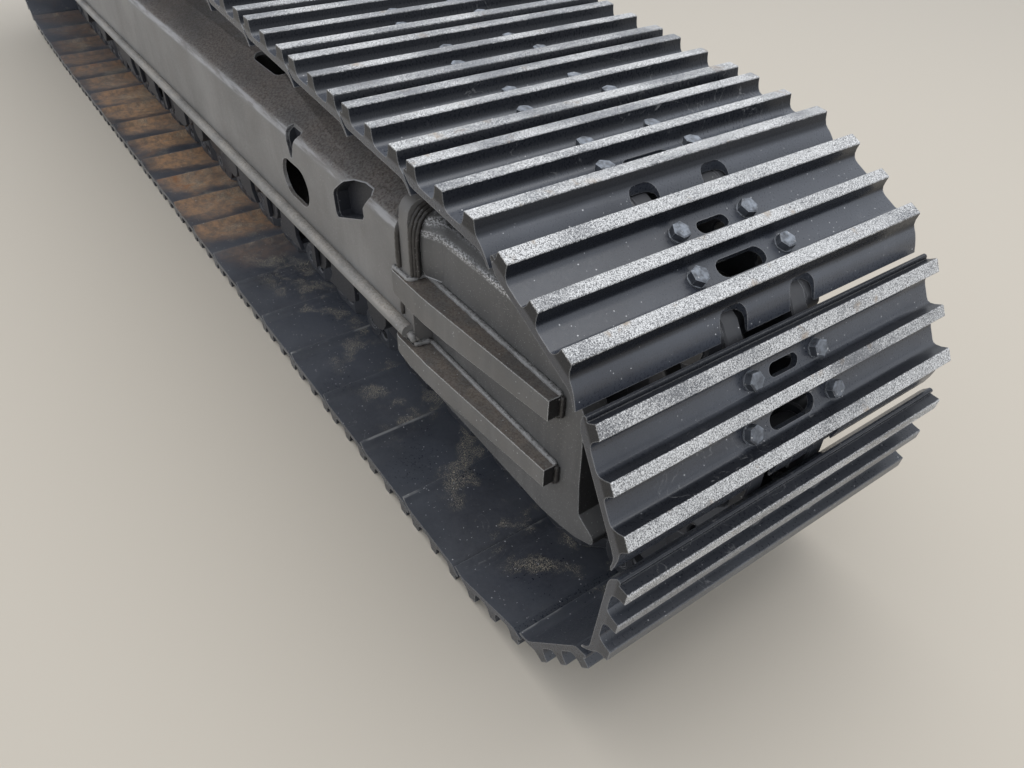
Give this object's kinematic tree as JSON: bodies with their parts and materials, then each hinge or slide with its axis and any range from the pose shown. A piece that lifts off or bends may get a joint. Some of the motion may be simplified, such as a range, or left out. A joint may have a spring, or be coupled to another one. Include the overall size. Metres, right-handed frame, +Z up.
{
  "type": "excavator crawler track unit",
  "caption": "Crawler track unit of a large excavator: side frame with idler, rollers, final drive and travel motor inside a closed loop of triple-grouser shoes.",
  "frame": {"origin": "on the ground under the middle of the unit's length and width", "axes": "+X forward to the idler, +Y to the machine's centre line, +Z up"},
  "size_m": [5.348, 0.75, 1.0253],
  "materials": {
    "frame_paint": "worn dusty dark grey paint, semi-gloss",
    "cast_steel": "dusty cast steel",
    "idler_steel": "cast steel with polished treads",
    "roller_steel": "forged steel with polished treads",
    "shoe_steel": "dark blue-grey coating, semi-gloss, worn bright on the grousers",
    "link_steel": "forged steel, dusty",
    "drive_paint": "dark grey paint, dusty",
    "seat_steel": "dark grey paint, machined tops"
  },
  "bodies": {
    "track_frame": {"side_frame": "frame_paint", "frame_end_plates": "frame_paint", "edge_bars": "frame_paint", "roller_rails": "frame_paint", "side_pockets": "frame_paint", "bracket_cheek_outer": "frame_paint", "bracket_cheek_inner": "frame_paint", "bracket_bridge": "frame_paint", "ribs_outer": "frame_paint", "ribs_inner": "frame_paint", "idler_shaft": "cast_steel", "idler_blocks": "cast_steel", "tension_yoke": "cast_steel", "recoil_unit": "cast_steel", "track_rollers": "roller_steel", "roller_collars": "cast_steel", "carrier_rollers": "roller_steel", "carrier_brackets": "frame_paint", "track_guides": "frame_paint", "track_guards": "frame_paint", "track_shoes": "shoe_steel", "track_links": "link_steel", "track_bushings": "link_steel", "sprocket": "idler_steel", "final_drive": "drive_paint", "drive_cover": "drive_paint", "drive_flange": "drive_paint", "drive_bracket": "frame_paint", "bracket_gussets": "frame_paint", "travel_motor": "drive_paint", "motor_valve": "drive_paint", "motor_guard": "frame_paint", "car_body_seats": "seat_steel", "seat_ribs": "frame_paint"},
    "idler_wheel": {"idler": "idler_steel"}
  },
  "joints": [
    {"name": "idler_spin", "type": "hinge", "parent": "track_frame", "child": "idler_wheel", "pos_m": [2.23149, 0, 0.45333], "axis": [0, 1, 0], "continuous": true}
  ]
}
